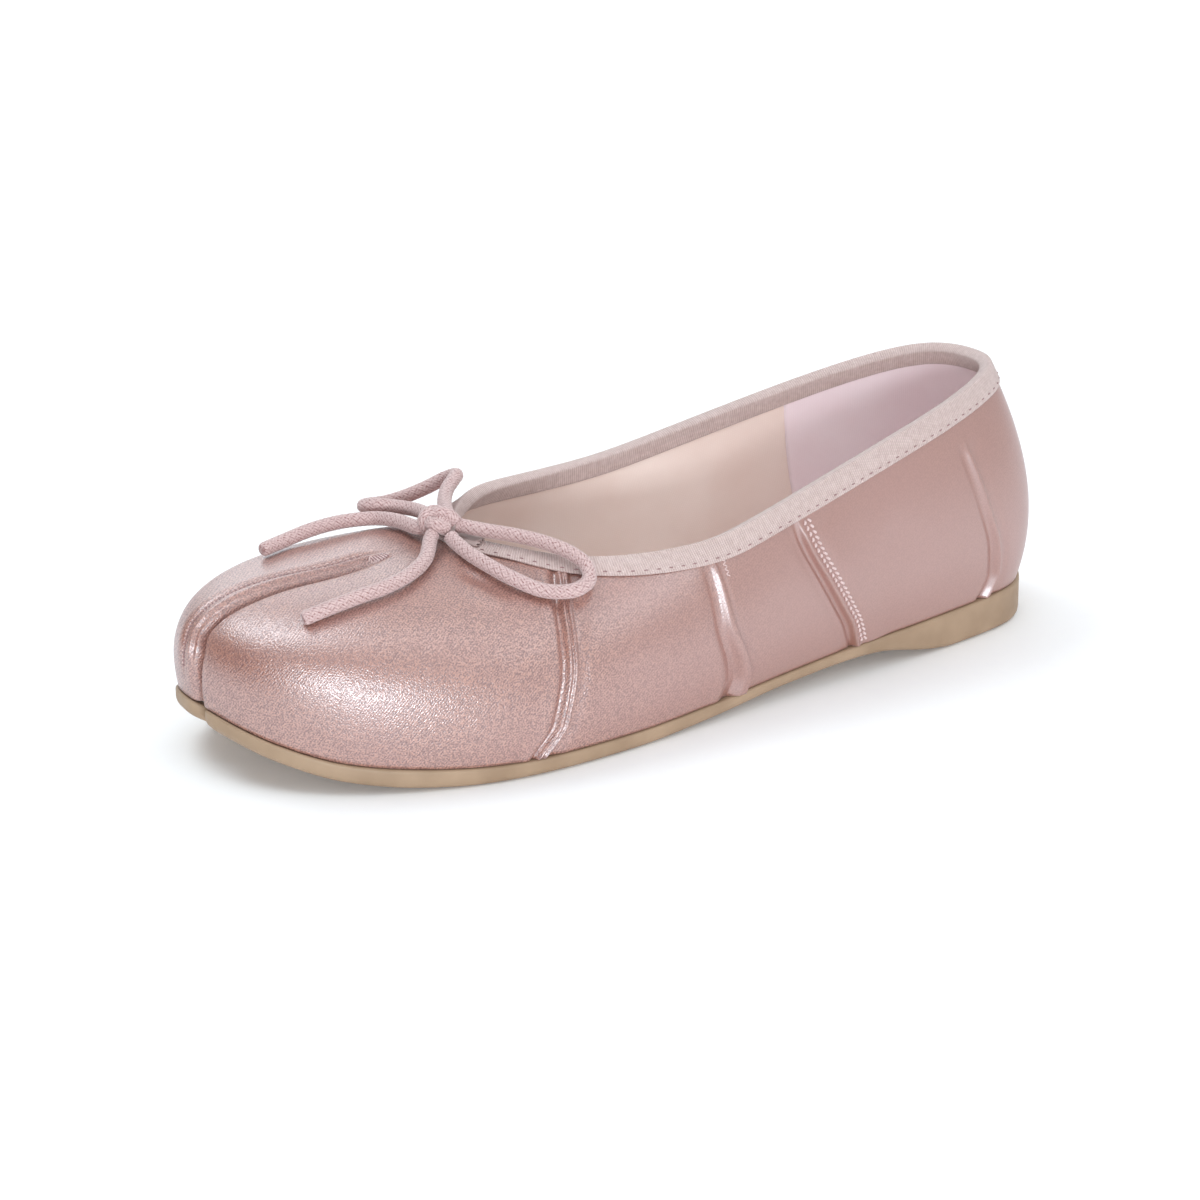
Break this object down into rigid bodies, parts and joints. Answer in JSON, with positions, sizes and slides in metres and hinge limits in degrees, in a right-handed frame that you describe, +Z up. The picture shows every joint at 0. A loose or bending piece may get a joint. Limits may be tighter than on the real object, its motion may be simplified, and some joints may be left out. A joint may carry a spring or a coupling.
{
  "type": "tabi ballet flat",
  "caption": "Low left slip-on flat with a split toe: hollow satin upper with raised seams and pleats, ribbon-bound collar, tied cord bow and thin moulded sole with a low heel.",
  "frame": {"origin": "on the floor under the middle of the shoe's box, measured without the bow", "axes": "+X from heel to toe, +Y to the outer (lateral) side of the left foot, +Z up"},
  "size_m": [0.2484, 0.086, 0.0725],
  "materials": {
    "sole_rubber": "matte",
    "insole_lining": "matte",
    "satin": "satin",
    "grosgrain": "matte",
    "braided_cord": "matte"
  },
  "bodies": {
    "root": {"outsole": "sole_rubber", "insole": "insole_lining", "upper": "satin", "collar_binding": "grosgrain", "bow_knot": "braided_cord", "bow_loop_lateral": "braided_cord", "bow_loop_medial": "braided_cord", "bow_end_lateral": "braided_cord", "bow_end_medial": "braided_cord"}
  },
  "joints": []
}
